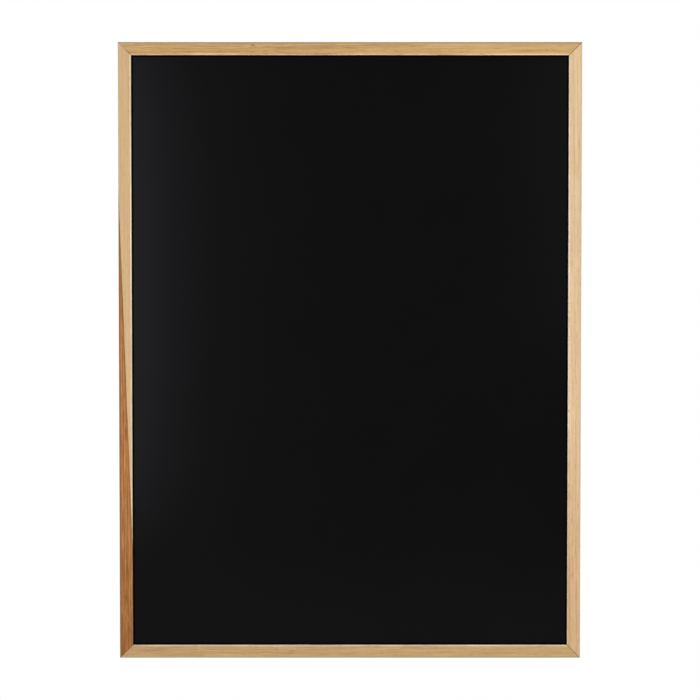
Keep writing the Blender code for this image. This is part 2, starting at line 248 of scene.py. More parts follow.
# %% Lamps
lamps = {
    # name: place, watts, width and height in metres
    "beside_camera": ((-1.08, -3.0, 0.1), 46, (1.0, 1.3)),
    "front_right": ((1.1, -2.9, 0.45), 8.5, (1.1, 1.1)),
    "front_low": ((0.0, -3.0, -1.6), 9, (1.8, 1.8)),
    "above": ((0.0, -0.6, 3.0), 18, (2.0, 2.0)),
    "left_side": ((-3.0, 1.1, 0.2), 24, (1.3, 1.3)),
    "right_side": ((3.0, 1.1, 0.2), 40, (1.3, 1.3)),
    "above_back": ((0, 1.0, 2.9), 22, (1.6, 1.0)),
    "back_left": ((-1.7, 2.8, 1.2), 24, (1.8, 1.8)),
    "back_right": ((1.6, 3.0, 1.0), 17, (1.8, 1.8)),
}
for lamp_name, (place, watts, (width, height)) in lamps.items():
    lamp_data = bpy.data.lights.new(lamp_name, 'AREA')
    lamp_data.energy = watts
    lamp_data.shape = 'RECTANGLE'
    lamp_data.size = width
    lamp_data.size_y = height
    lamp = new_object(lamp_name, lamp_data)
    lamp.location = place
    lamp.rotation_euler = look_along(-Vector(place))
print(f"{len(lamps)} lamps")

# %% [markdown]
# ## Floor
#
# The board hangs on a wall in use, so no floor touches it. A pale disc well below it takes its soft shadow
# in the views from above, and stays out of the straight view. Towards its rim it fades to the white around.

# %% Floor
floor_radius = 1.6
floor_height = -0.95
disc = bmesh.new()
bmesh.ops.create_circle(disc, cap_ends=True, segments=96, radius=floor_radius)
bmesh.ops.translate(disc, verts=disc.verts, vec=(0.0, 0.0, floor_height))
floor = new_object("floor", mesh_from(disc, "floor"))
floor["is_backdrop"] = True

matt_paint, tree = new_material("matt_white_paint")
here = add_node(tree, 'TexCoord').outputs["Object"]
flat_place = add_node(tree, 'VectorMath', [here, (1, 1, 0)], operation='MULTIPLY')
from_middle = add_node(tree, 'VectorMath', [flat_place], operation='LENGTH').outputs["Value"]
fade = add_node(tree, 'MapRange', [from_middle, 0.5 * floor_radius, 0.98 * floor_radius], **gently)
white_share = add_node(tree, 'Math', [fade, seen_directly(tree)], operation='MULTIPLY')
paint = add_node(tree, 'BsdfDiffuse', ["F2F2F0"])
bare_white = add_node(tree, 'Emission', {"Strength": 1.0})
floor_finish = add_node(tree, 'MixShader', [white_share, paint, bare_white])
add_node(tree, 'OutputMaterial', {"Surface": floor_finish})
floor.data.materials.append(matt_paint)

# %% [markdown]
# ## The board's own sizes
#
# These are the sizes that the imported model was drawn with.

# %% Sizes
board_width = 600 * MM
board_height = 800 * MM
face_width = 17 * MM
frame_depth = 16 * MM
lip_thickness = 5 * MM
back_width = 11 * MM
mitre_gap = 0.3 * MM

# %% [markdown]
# ## Axes for the frame's members
#
# The four members are the same moulding, turned. Each gets axes of its own: X from its outer edge towards
# the middle of the board, Y from front to back, Z along its length. A shape or a grain is then written once.

# %% Member places
member_places = {
    # name: place of the outer edge, turn about Y, length
    "left_stile": ((-board_width / 2, 0.0, 0.0), 0.0, board_height),
    "right_stile": ((board_width / 2, 0.0, 0.0), math.pi, board_height),
    "top_rail": ((0.0, 0.0, board_height / 2), math.pi / 2, board_width),
    "bottom_rail": ((0.0, 0.0, -board_height / 2), -math.pi / 2, board_width),
}


def placed_at(place, turn):
    return Matrix.Translation(place) @ Matrix.Rotation(turn, 4, 'Y')


# %% [markdown]
# ## Growing a mesh from a tree
#
# Geometry Nodes build a shape from named sizes. The functions below start a tree, end it and run it on an
# object, keep the result as a plain mesh and take the modifier off again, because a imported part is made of
# plain meshes. A second, tiny tree comes last on every piece: it shades gentle bends as round and keeps the
# rest sharp.

# %% Start, end and run a tree
# what an input is, where it isn't a plain number
input_kinds = {"Shape": 'Geometry', "Places": 'Geometry', "Material": 'Material'}
vector_inputs = (
    "Lower Face", "Upper Face", "Rib Start", "Rib End", "Cross Size", "Cross Place", "Thread Start", "Seat",
)
input_kinds.update(dict.fromkeys(vector_inputs, 'Vector'))


def new_tree(name, *input_names):
    """A Geometry Nodes tree with these inputs, and the sockets that give them."""
    tree = bpy.data.node_groups.new(name, 'GeometryNodeTree')
    tree.interface.new_socket("Geometry", in_out='OUTPUT', socket_type='NodeSocketGeometry')
    for input_name in input_names:
        kind = "NodeSocket" + input_kinds.get(input_name, 'Float')
        tree.interface.new_socket(input_name, in_out='INPUT', socket_type=kind)
    return tree, add_node(tree, 'GroupInput').outputs


def end_tree(tree, geometry, material):
    """Make the instances real, give them their material, and put the geometry out."""
    real = add_node(tree, 'RealizeInstances', [geometry])
    finished = add_node(tree, 'SetMaterial', {"Geometry": real, "Material": material})
    add_node(tree, 'GroupOutput', [finished])


def run_tree(piece, tree, values):
    """Put a tree on an object as a modifier, with its inputs set by their identifiers."""
    modifier = piece.modifiers.new(tree.name, 'NODES')
    modifier.node_group = tree
    for socket in tree.interface.items_tree:
        if socket.in_out == 'INPUT' and socket.name in values:
            modifier[socket.identifier] = values[socket.name]


# %% Round the gentle bends
round_bends, size = new_tree("round bends", "Shape", "Sharpest")
bend_angle = add_node(round_bends, 'InputMeshEdgeAngle').outputs["Unsigned Angle"]
is_gentle = add_node(round_bends, 'Compare', [bend_angle, size["Sharpest"]], operation='LESS_THAN')
shaded = size["Shape"]
for domain, smooth in (('FACE', True), ('EDGE', is_gentle)):
    shading = {"Geometry": shaded, "Shade Smooth": smooth}
    shaded = add_node(round_bends, 'SetShadeSmooth', shading, domain=domain)
add_node(round_bends, 'GroupOutput', [shaded])


def finish_mesh(piece, sharpest=35):
    """Turn an object and its modifiers into a plain mesh."""
    run_tree(piece, round_bends, {"Sharpest": math.radians(sharpest)})
    bpy.context.view_layer.update()
    evaluated = piece.evaluated_get(bpy.context.evaluated_depsgraph_get())
    mesh = bpy.data.meshes.new_from_object(evaluated)
    mesh.name = piece.name
    piece.modifiers.clear()
    piece.data = mesh


def cut_from(piece, **cutters):
    """Take an object or a collection of cutters away from a piece."""
    cut = piece.modifiers.new("cut", 'BOOLEAN')
    cut.operation = 'DIFFERENCE'
    cut.solver = 'EXACT'
    for setting, value in cutters.items():
        setattr(cut, setting, value)


def report_mesh(piece):
    """Print how many faces a piece has, and that its surface is closed."""
    shape = bmesh.new()
    shape.from_mesh(piece.data)
    open_edges = sum(len(edge.link_faces) != 2 for edge in shape.edges)
    volume = shape.calc_volume(signed=True) / MM ** 3
    print(f"{piece.name}: {len(shape.faces)} faces, {open_edges} open edges, {volume:.0f} mm3")
    shape.free()


# %% [markdown]
# ## Drawing an outline
#
# Many pieces start as a drawn section: a few corners, each with its own rounding. In a tree, the corners are
# points whose places come from a switch on their number, joined into a curve, and rounded by a fillet.

# %% Outline of rounded corners
def draw_outline(tree, corners, closed=True, steps=6):
    """A curve in the XY plane through corners of (x, y, radius), each a number or a socket."""
    number = add_node(tree, 'InputIndex')
    places = [add_node(tree, 'CombineXYZ', [x, y]) for x, y, radius in corners]
    radii = [radius for x, y, radius in corners]
    switches = []
    for kind, values in (('VECTOR', places), ('FLOAT', radii)):
        switch = add_node(tree, 'IndexSwitch', data_type=kind)
        for extra in range(len(corners) - 2):
            switch.index_switch_items.new()
        fill_inputs(tree, switch, [number, *values])
        switches.append(switch)
    points = add_node(tree, 'Points', {"Count": len(corners)})
    placed = add_node(tree, 'SetPosition', {"Geometry": points, "Position": switches[0]})
    joined = add_node(tree, 'PointsToCurves', [placed])
    outline = add_node(tree, 'SetSplineCyclic', {"Geometry": joined, "Cyclic": closed})
    fillet = {"Curve": outline, "Count": steps, "Radius": switches[1], "Limit Radius": True}
    return add_node(tree, 'FilletCurve', fillet, mode='POLY')


# %% [markdown]
# ## Moulding
#
# The frame is planed pine, run through a cutter: a face 17 mm wide, eased edges, and a rabbet behind that
# the sheet drops into. It could be a long box with bevels, but the rabbet makes an L, so the section is
# drawn as six corners with a fillet each, and swept along the member's length. The sweep's ends then slope
# back by as much as a point lies in from the outer edge, which is exactly what a mitre saw does. A slow
# noise takes up to a tenth of a millimetre off here and there, as sanding by hand leaves it.

# %% Moulding tree
moulding_sizes = {
    "Face Width": face_width,
    "Back Width": back_width,
    "Front": -frame_depth,
    "Lip Back": -frame_depth + lip_thickness,
    "Outer Arris": 0.8 * MM,
    "Inner Arris": 1.2 * MM,
    "Eased": 0.2 * MM,
    "Mitre Gap": mitre_gap,
    "Station Spacing": 5 * MM,
    # what sanding takes off counts as a step inwards
    "Sanding": -0.1 * MM,
}
moulding, size = new_tree("mitred moulding", "Half Length", *moulding_sizes, "Seed", "Material")
eased_section = draw_outline(moulding, [
    # inset, depth, radius
    (0.0, size["Front"], size["Outer Arris"]),
    (size["Face Width"], size["Front"], size["Inner Arris"]),
    (size["Face Width"], size["Lip Back"], size["Eased"]),
    (size["Back Width"], size["Lip Back"], size["Eased"]),
    (size["Back Width"], 0.0, size["Eased"]),
    (0.0, 0.0, size["Outer Arris"]),
])

# %% Sweep the section and mitre the ends
half_length = size["Half Length"]
low_end = add_node(moulding, 'Math', [half_length, -1.0], operation='MULTIPLY')
ends = [add_node(moulding, 'CombineXYZ', {"Z": end}) for end in (low_end, half_length)]
axis = add_node(moulding, 'CurvePrimitiveLine', ends)
rows = add_node(moulding, 'ResampleCurve', {"Curve": axis, "Length": size["Station Spacing"]}, mode='LENGTH')
stick = add_node(moulding, 'CurveToMesh', {"Curve": rows, "Profile Curve": eased_section, "Fill Caps": True})
inset, depth, along = add_node(moulding, 'SeparateXYZ', [add_node(moulding, 'InputPosition')]).outputs
setback = add_node(moulding, 'Math', [size["Mitre Gap"], math.sqrt(0.5), inset], operation='MULTIPLY_ADD')
mitred_half = add_node(moulding, 'Math', [half_length, setback], operation='SUBTRACT')
share = add_node(moulding, 'Math', [along, half_length], operation='DIVIDE')
mitred_along = add_node(moulding, 'Math', [share, mitred_half], operation='MULTIPLY')
mitred_place = add_node(moulding, 'CombineXYZ', [inset, depth, mitred_along])
mitred_stick = add_node(moulding, 'SetPosition', {"Geometry": stick, "Position": mitred_place})
# the noise counts per metre, so its patches are 22 mm wide
slow_noise = {"W": size["Seed"], "Scale": 45.0, "Detail": 2.0}
wear = add_node(moulding, 'TexNoise', slow_noise, noise_dimensions='4D')
sanding_depth = add_node(moulding, 'MapRange', [wear, 0.45, 0.8, 0.0, size["Sanding"]])
way_out = add_node(moulding, 'InputNormal')
sanding_step = add_node(moulding, 'VectorMath', {0: way_out, "Scale": sanding_depth}, operation='SCALE')
sanded_stick = add_node(moulding, 'SetPosition', {"Geometry": mitred_stick, "Offset": sanding_step})
end_tree(moulding, sanded_stick, size["Material"])
print(f"moulding tree: {len(moulding.nodes)} nodes")

# %% [markdown]
# ## Grooves for the V-nails
#
# A V-nail is pressed into the back of a mitre and pulls it tight. Its top edge stays in sight, a hair below
# the wood. So the wood is cut by a copy of each nail that is a little fatter and reaches out past the back.

# %% Groove cutters
groove_play = 0.06 * MM
groove_overrun = 1 * MM
# points as near as this to a nail's back belong to its back edge
nail_edge = 0.1 * MM
grooves = bpy.data.collections.new("grooves")
nail_names = sorted(name for name in frame["nodes"] if name.startswith("v_nail_"))
for nail_name in nail_names:
    cutter = bmesh.new()
    cutter.from_mesh(frame["nodes"][nail_name].data)
    bmesh.ops.remove_doubles(cutter, verts=cutter.verts, dist=0.001 * MM)
    cutter.normal_update()
    nail_back = max(vertex.co.y for vertex in cutter.verts)
    for vertex in cutter.verts:
        at_back = vertex.co.y > nail_back - nail_edge
        vertex.co += vertex.normal * groove_play
        if at_back:
            vertex.co.y = groove_overrun
    groove_name = "groove_" + nail_name
    grooves.objects.link(bpy.data.objects.new(groove_name, mesh_from(cutter, groove_name)))

# %% [markdown]
# ## Pine
#
# The members are bare, sanded pine with no stain. Pine is pale honey, with growth rings that run along the
# member as faint stripes: soft pale spring wood, then a narrow darker band of summer wood. Fine fibres and
# short resin canals run the same way. The pattern is made in the member's own axes, from rings around a pith
# that lies outside the moulding, so that the stripes also turn the corner onto its sides as in real wood.

# %% What each member looks like
pine_table = {
    # what: left stile, right stile, top rail, bottom rail
    "seed": (3.1, 11.7, 23.4, 37.9),
    "pale": ("D5B589", "ECCEA6", "D4AD73", "C8A776"),
    "dark": ("A77F51", "B98B5D", "906737", "8C683D"),
    # the arris colour is a painted highlight, and the edge colour a painted shade
    "arris_highlight": ("FFEBC4", "FAE8CC", "FADBAE", "F0D8B6"),
    "edge": ("C4AC86", "DDBE94", "AE9472", "AE9674"),
    # the pith's inset and depth, how wide a ring is, how far rings wander, and how they run out of the face
    "pith": ((-0.052, 0.046), (0.070, 0.040), (-0.061, 0.058), (0.082, 0.050)),
    "ring": (1.9 * MM, 2.1 * MM, 2.2 * MM, 1.8 * MM),
    "wander": (2.2 * MM, 2.6 * MM, 3.8 * MM, 2.6 * MM),
    "lean": (0.004, -0.006, 0.008, 0.003),
    # how strong each pattern is, how much darker the upper end is, and how dark the wood is without them
    "stripe": (0.26, 0.22, 0.20, 0.12),
    "fibre": (0.30, 0.44, 0.92, 0.62),
    "patch": (0.22, 0.20, 0.10, 0.16),
    "streak": (0.06, 0.28, 0.42, 0.32),
    "grade": (0.0, 0.04, -0.16, 0.30),
    "shade": (0.12, 0.15, 0.20, 0.23),
}
pine_looks = {
    member_name: {what: row[column] for what, row in pine_table.items()}
    for column, member_name in enumerate(member_places)
}
marks = {
    # member: inset, along, half size across and half size along in mm, darkness, and bend of the rings in mm;
    # the small ones are knots and specks, and the wide ones are stretches of browner or paler wood
    "left_stile": [(1.5, -398, 2.0, 3.0, 0.8, 0.0)],
    "right_stile": [
        (16.2, 77.0, 1.1, 2.8, 0.5, 2.4),
        (8.5, 320, 60, 230, 0.28, 0.0),
        (8.5, 400, 60, 110, 0.12, 0.0),
    ],
    "top_rail": [
        (4.2, -125.3, 1.0, 3.4, 0.85, 2.2),
        (10.8, 254.1, 1.6, 4.0, 0.3, 3.0),
        (8.5, -80.0, 60, 120, 0.10, 0.0),
        (8.5, 240.0, 60, 150, -0.12, 0.0),
    ],
    "bottom_rail": [(11.3, 95.9, 0.9, 1.8, 0.6, 0.8), (10.1, 286.0, 0.7, 1.2, 0.6, 0.0)],
}
print(f"{len(pine_looks)} members, {sum(len(listed) for listed in marks.values())} marks")

# %% [markdown]
# ### Axes and stretched noise
#
# Object coordinates are turned into the member's own axes by one Mapping node, and noise is stretched along
# the member by another. Everything else in the wood is built from these two.

# %% Axes and stretched noise
def member_axes(tree, member_name):
    """Object coordinates turned into the member's own axes, and their parts: inset, depth, along."""
    place, turn, length = member_places[member_name]
    here = add_node(tree, 'TexCoord').outputs["Object"]
    axes = add_node(tree, 'Mapping', [here, place, (0.0, turn, 0.0)], vector_type='TEXTURE')
    return axes, *add_node(tree, 'SeparateXYZ', [axes]).outputs


def stretched_noise(tree, axes, feature_size, seed, detail=2.0, roughness=0.5):
    """Noise whose patches measure about so many millimetres across, through and along the member."""
    scale = tuple(1 / (length * MM) for length in feature_size)
    scaled = add_node(tree, 'Mapping', {"Vector": axes, "Scale": scale}, vector_type='POINT')
    return add_node(tree, 'TexNoise', [scaled, seed, 1.0, detail, roughness], noise_dimensions='4D')


# %% Knots, specks and wide stretches
def mark_masks(tree, axes, member_name):
    """How dark each mark is here, and how far it bends the rings."""
    darkness = bend = 0.0
    for inset, along, across_size, along_size, strength, bow in marks[member_name]:
        offset = add_node(tree, 'Mapping', {
            "Vector": axes,
            "Location": (inset * MM, 0.0, along * MM),
            "Scale": (across_size * MM, 1.0, along_size * MM),
        }, vector_type='TEXTURE')
        flat = add_node(tree, 'VectorMath', [offset, (1.0, 0.0, 1.0)], operation='MULTIPLY')
        distance = add_node(tree, 'VectorMath', [flat], operation='LENGTH').outputs["Value"]
        core = add_node(tree, 'MapRange', [distance, 0.2, 1.2, strength, 0.0], **gently)
        around = add_node(tree, 'MapRange', [distance, 0.0, 4.0, bow * MM, 0.0], **gently)
        darkness = add_node(tree, 'Math', [darkness, core], operation='ADD')
        bend = add_node(tree, 'Math', [bend, around], operation='ADD')
    return darkness, bend


# %% [markdown]
# ### Growth rings
#
# A ring is where the distance from the pith, divided by the ring width, passes a whole number. Slow noise
# makes the rings wander and swell, a small lean lets them run out of the face as they do in sawn wood, and
# near a knot they bow aside.

# %% Rings
def growth_rings(tree, axes, along, look, bend):
    """From 0 in spring wood to 1 in summer wood."""
    from_pith = add_node(tree, 'VectorMath', [axes, (*look["pith"], 0.0)], operation='SUBTRACT')
    across = add_node(tree, 'VectorMath', [from_pith, (1.0, 1.0, 0.0)], operation='MULTIPLY')
    distance = add_node(tree, 'VectorMath', [across], operation='LENGTH').outputs["Value"]
    wander = stretched_noise(tree, axes, (60, 60, 260), look["seed"])
    wandered = add_node(tree, 'Math', [wander, look["wander"], distance], operation='MULTIPLY_ADD')
    leaned = add_node(tree, 'Math', [along, look["lean"], wandered], operation='MULTIPLY_ADD')
    bent = add_node(tree, 'Math', [leaned, bend], operation='ADD')
    years = add_node(tree, 'Math', [bent, look["ring"]], operation='DIVIDE')
    # good and lean years follow each other: a noise along the count of years stretches and squeezes it
    weather = add_node(tree, 'Math', [years, 0.35, look["seed"]], operation='MULTIPLY_ADD')
    lean_years = add_node(tree, 'TexNoise', {"W": weather, "Scale": 1.0}, noise_dimensions='1D')
    uneven = add_node(tree, 'Math', [lean_years, 2.2, years], operation='MULTIPLY_ADD')
    part_of_year = add_node(tree, 'Math', [uneven], operation='FRACT')
    rise = add_node(tree, 'MapRange', [part_of_year, 0.35, 0.85], **gently)
    fall = add_node(tree, 'MapRange', [part_of_year, 0.85, 1.0, 1.0, 0.0], **gently)
    return add_node(tree, 'Math', [rise, fall], operation='MULTIPLY')


# %% [markdown]
# ### How dark the wood is
#
# Rings alone look like printed stripes. Real pine has fibres, short streaks and cloudy patches over them,
# each a noise of its own size. They are added to one number, the shade: 0 is the palest wood, 1 the darkest.

# %% Shade
grain_layers = {
    # name: size across, through and along the member in mm, detail, roughness
    # real fibres are 0.03 mm wide: they are drawn 1.3 mm wide with finer ones in them, so that some show
    "fibre": ((1.3, 1.3, 60), 5.0, 0.62),
    "patch": ((9, 9, 90), 2.0, 0.5),
    "streak": ((2.2, 2.2, 22), 3.0, 0.55),
}


def grain_shade(tree, axes, along, member_name, rings, darkness):
    """The shade, and the noises that the surface and the heartwood use again."""
    look = pine_looks[member_name]
    length = member_places[member_name][2]
    shade = add_node(tree, 'Math', [rings, look["stripe"], look["shade"]], operation='MULTIPLY_ADD')
    layers = {}
    for layer_name, (feature_size, detail, roughness) in grain_layers.items():
        seed = look["seed"] + 1 + len(layers)
        layers[layer_name] = stretched_noise(tree, axes, feature_size, seed, detail, roughness)
        centred = add_node(tree, 'Math', [layers[layer_name], 0.5], operation='SUBTRACT')
        shade = add_node(tree, 'Math', [centred, 2 * look[layer_name], shade], operation='MULTIPLY_ADD')
    # resin canals are fine dark dashes, a few millimetres long
    canals = stretched_noise(tree, axes, (0.7, 0.7, 9), look["seed"] + 7, detail=0.0)
    dashes = add_node(tree, 'MapRange', [canals, 0.66, 0.74, 0.0, 0.32], **gently)
    shade = add_node(tree, 'Math', [shade, dashes], operation='ADD')
    shade = add_node(tree, 'Math', [along, look["grade"] / length, shade], operation='MULTIPLY_ADD')
    shade = add_node(tree, 'Math', [shade, darkness], operation='ADD', use_clamp=True)
    return shade, layers


# %% [markdown]
# ### Heartwood
#
# The left stile was sawn where pale sapwood meets brown heartwood. The boundary crosses the face at a very
# flat angle: brown starts at the outer edge a quarter of the way down, and fills the whole face near the
# bottom. It is sharp, with a slightly deeper line just inside it. Heartwood shows its streaks more strongly,
# and it gets darker towards the bottom.

# %% Heartwood
# the heartwood's arris colour is a painted highlight, and its edge colour a painted shade
heart = {"pale": "C98C50", "dark": "80490D", "line": "733F19", "arris_highlight": "B4825A", "edge": "885A2C"}
heart_starts = 205 * MM
heart_fills = -262 * MM
heart_play = 0.6 * MM


def heartwood(tree, axes, inset, along):
    """1 in heartwood and 0 in sapwood, and a mask of the deeper line at the boundary."""
    way_down = add_node(tree, 'MapRange', [along, heart_starts, heart_fills, 0.0, face_width], clamp=False)
    wobble = stretched_noise(tree, axes, (8, 8, 40), 5.5)
    boundary = add_node(tree, 'Math', [wobble, 2 * heart_play, way_down], operation='MULTIPLY_ADD')
    inside = add_node(tree, 'Math', [boundary, inset], operation='SUBTRACT')
    mask = add_node(tree, 'MapRange', [inside, 0.0, 0.5 * MM], **gently)
    line = add_node(tree, 'MapRange', [inside, 0.4 * MM, 2.8 * MM, 0.6, 0.0], **gently)
    return mask, add_node(tree, 'Math', [line, mask], operation='MULTIPLY')


def heart_colour(tree, along, shade, layers, line, arris_highlight, edge):
    """Brown wood, with the painted arris highlight and edge shade of the pale wood, but less of the
    highlight.
    """
    down = add_node(tree, 'MapRange', [along, -190 * MM, -400 * MM, -1.12, -0.76])
    fibrous = add_node(tree, 'Math', [layers["fibre"], 1.7, down], operation='MULTIPLY_ADD')
    streaky = add_node(tree, 'Math', [layers["streak"], 1.2, fibrous], operation='MULTIPLY_ADD')
    heart_shade = add_node(tree, 'Math', [shade, streaky], operation='ADD', use_clamp=True)
    less_arris_highlight = add_node(tree, 'Math', [arris_highlight, 0.35], operation='MULTIPLY')
    colour = heart["pale"]
    for mask, coat in ((heart_shade, "dark"), (line, "line"), (edge, "edge"), (less_arris_highlight, "arris_highlight")):
        colour = add_node(tree, 'Mix', {0: mask, "A": colour, "B": heart[coat]}, data_type='RGBA')
    return colour


# %% [markdown]
# ### Edges
#
# A frame shows its making at its edges. The inner arris is paler: a painted highlight along the rounded edge,
# over sanded fresh wood. The outer edge is greyer: a painted shade, with a little grey left on its sides. The
# saw cut of each mitre has drunk glue and is brown.
# The top left mitre closed so well that only its inner half shows. Each of these is a mask in member axes.

# %% Edge masks
tight_mitre_end = {"left_stile": 1.0, "top_rail": -1.0}


def edge_masks(tree, inset, depth, along, member_name):
    """Masks of the painted highlight on the inner arris, the painted shade on the outer edge, and the saw
    cuts.
    """
    # a painted highlight along the inner arris, and a painted shade along the outer edge
    arris_highlight = add_node(tree, 'MapRange', [inset, face_width - 2.2 * MM, face_width - 1.4 * MM], **gently)
    outer_edge_shade = add_node(tree, 'MapRange', [inset, 1.8 * MM, 2.7 * MM, 0.9, 0.0], **gently)
    # the painted edge shade lies on the front: on the side faces, little of it is left three millimetres in
    near_front = add_node(tree, 'MapRange', [
        depth, -frame_depth + 0.8 * MM, -frame_depth + 3 * MM, 1.0, 0.15,
    ], **gently)
    outer_edge_shade = add_node(tree, 'Math', [outer_edge_shade, near_front], operation='MULTIPLY')
    either_way = add_node(tree, 'Math', [along], operation='ABSOLUTE')
    reach = add_node(tree, 'Math', [either_way, inset], operation='ADD')
    to_cut = add_node(tree, 'Math', [member_places[member_name][2] / 2, reach], operation='SUBTRACT')
    saw_cut = add_node(tree, 'MapRange', [to_cut, 0.5 * MM, 1.1 * MM, 0.5, 0.0], **gently)
    if member_name in tight_mitre_end:
        towards_end = add_node(tree, 'Math', [along, tight_mitre_end[member_name]], operation='MULTIPLY')
        is_tight = add_node(tree, 'Math', [towards_end, 0.0], operation='GREATER_THAN')
        outer_half = add_node(tree, 'MapRange', [inset, 7 * MM, 11 * MM, 0.85, 0.0])
        hidden = add_node(tree, 'Math', [is_tight, outer_half], operation='MULTIPLY')
        shown = add_node(tree, 'Math', [1.0, hidden], operation='SUBTRACT')
        saw_cut = add_node(tree, 'Math', [saw_cut, shown], operation='MULTIPLY')
    return arris_highlight, outer_edge_shade, saw_cut


def lip_wall_shade_mask(tree, inset, depth):
    """A mask of painted shade on the wall that faces the sheet, behind the arris."""
    behind_arris = add_node(tree, 'MapRange', [
        depth, -frame_depth + 1.0 * MM, -frame_depth + 1.8 * MM,
    ], **gently)
    on_wall = add_node(tree, 'MapRange', [inset, face_width - 0.5 * MM, face_width - 0.2 * MM, 0.0, 0.8])
    return add_node(tree, 'Math', [behind_arris, on_wall], operation='MULTIPLY')


# %% [markdown]
# ### The pine material
#
# The shade picks a colour between a pale and a dark pine, a slow noise makes it a little pinker or more
# olive, and the edges go on top. The same rings and fibres give a very low relief, as summer wood stands a
# little proud after sanding. Bare sanded wood is matt, and its darker, resinous parts shine a little more.

# %% Pine material
glue_brown = "7A4C1E"
# painted shade for the wall of the lip, which lies in the recess
lip_wall_painted_shade = "30200F"


def make_pine(member_name):
    """Sanded bare pine: matt, warm, with faint stripes along the member."""
    look = pine_looks[member_name]
    material, tree = new_material("sanded_pine_" + member_name)
    axes, inset, depth, along = member_axes(tree, member_name)
    darkness, bend = mark_masks(tree, axes, member_name)
    rings = growth_rings(tree, axes, along, look, bend)
    shade, layers = grain_shade(tree, axes, along, member_name, rings, darkness)
    # the painted arris highlight follows the wood's shade, and the painted edge shade darkens over marks
    colour, arris_highlight_colour, edge_shade_colour = [
        add_node(tree, 'Mix', {0: share, "A": look[paler], "B": look["dark"]}, data_type='RGBA')
        for paler, share in (("pale", shade), ("arris_highlight", shade), ("edge", darkness))
    ]
    # some fibres took up more resin and look pinker, others stay olive
    tints = stretched_noise(tree, axes, (3, 3, 18), look["seed"] + 9)
    tint = add_node(tree, 'MapRange', [tints, 0.3, 0.7])
    pink_to_olive = {0: tint, "A": (1.035, 0.975, 1.05, 1.0), "B": (0.975, 1.015, 0.88, 1.0)}
    tint_colour = add_node(tree, 'Mix', pink_to_olive, data_type='RGBA')
    tinted = {0: 1.0, "A": colour, "B": tint_colour}
    colour = add_node(tree, 'Mix', tinted, data_type='RGBA', blend_type='MULTIPLY')
    arris_highlight, outer_edge_shade, saw_cut = edge_masks(tree, inset, depth, along, member_name)
    coats = [(arris_highlight, arris_highlight_colour), (outer_edge_shade, edge_shade_colour)]
    if member_name == "left_stile":
        in_heart, line = heartwood(tree, axes, inset, along)
        coats.append((in_heart, heart_colour(tree, along, shade, layers, line, arris_highlight, outer_edge_shade)))
    # the wall of the lip comes last: painted shade darkens it, as it lies in the recess beside the sheet
    coats += [(saw_cut, glue_brown), (lip_wall_shade_mask(tree, inset, depth), lip_wall_painted_shade)]
    for mask, coat in coats:
        colour = add_node(tree, 'Mix', {0: mask, "A": colour, "B": coat}, data_type='RGBA')
    summer_wood = add_node(tree, 'Math', [rings, 0.4], operation='MULTIPLY')
    relief = add_node(tree, 'Math', [layers["fibre"], 0.6, summer_wood], operation='MULTIPLY_ADD')
    end_material(tree, {
        "Base Color": colour,
        "Roughness": add_node(tree, 'MapRange', {"Value": shade, "To Min": 0.62, "To Max": 0.48}),
        "Normal": add_node(tree, 'Bump', {"Height": relief, "Strength": 0.25, "Distance": 0.08 * MM}),
        "Specular IOR Level": 0.25,
    })
    print(f"{material.name}: {len(tree.nodes)} nodes")
    return material


pine = {member_name: make_pine(member_name) for member_name in member_places}

# %% [markdown]
# ## Cutting the four members
#
# Now the tree makes each member at its own length, and it goes to its place before the grooves are cut,
# because the cutters stand where the nails are.

# %% Members
for member_name, (place, turn, length) in member_places.items():
    member = new_object(member_name + "_moulding", bpy.data.meshes.new(member_name))
    run_tree(member, moulding, {
        **moulding_sizes,
        "Half Length": length / 2,
        "Seed": pine_looks[member_name]["seed"],
        "Material": pine[member_name],
    })
    finish_mesh(member)
    member.data.transform(placed_at(place, turn))
    cut_from(member, operand_type='COLLECTION', collection=grooves)
    finish_mesh(member)
    report_mesh(member)
    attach(member, "root")
    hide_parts(member_name)

# %% [markdown]
# ## Glue lines
#
# A mitre is glued before it is nailed. The thin line between two members is glue with a little dust in it,
# lying just below the faces. It is a plate in each gap, seen as a fine dark diagonal at the corners.

# %% Glue
dried_glue, tree = new_material("dried_wood_glue")
here = add_node(tree, 'TexCoord').outputs["Object"]
# specks a millimetre and a half wide
mottled = add_node(tree, 'TexNoise', {"Vector": here, "Scale": 700.0})
# in the outer half of the tight top left mitre, sanding dust has filled the line
across, through, up = add_node(tree, 'SeparateXYZ', [here]).outputs
towards_tight = add_node(tree, 'Math', [up, across], operation='SUBTRACT')
tight_tip = (board_width + board_height) / 2
is_dusty = add_node(tree, 'MapRange', [towards_tight, tight_tip - 22 * MM, tight_tip - 14 * MM])
colour = "74502A"
for mask, coat in ((mottled, "94703E"), (is_dusty, "C8A878")):
    colour = add_node(tree, 'Mix', {0: mask, "A": colour, "B": coat}, data_type='RGBA')
end_material(tree, {"Base Color": colour, "Roughness": 0.6})


# %% Plates of glue
def skin_rows(shape, rows):
    """Join rows of points into a closed solid: a face on each end, and walls from row to row."""
    rows = [[shape.verts.new(point) for point in row] for row in rows]
    shape.faces.new(rows[0])
    shape.faces.new(rows[-1][::-1])
    for row, next_row in zip(rows, rows[1:]):
        for here in range(len(row)):
            after = (here + 1) % len(row)
            shape.faces.new((row[after], row[here], next_row[here], next_row[after]))
    bmesh.ops.recalc_face_normals(shape, faces=shape.faces)


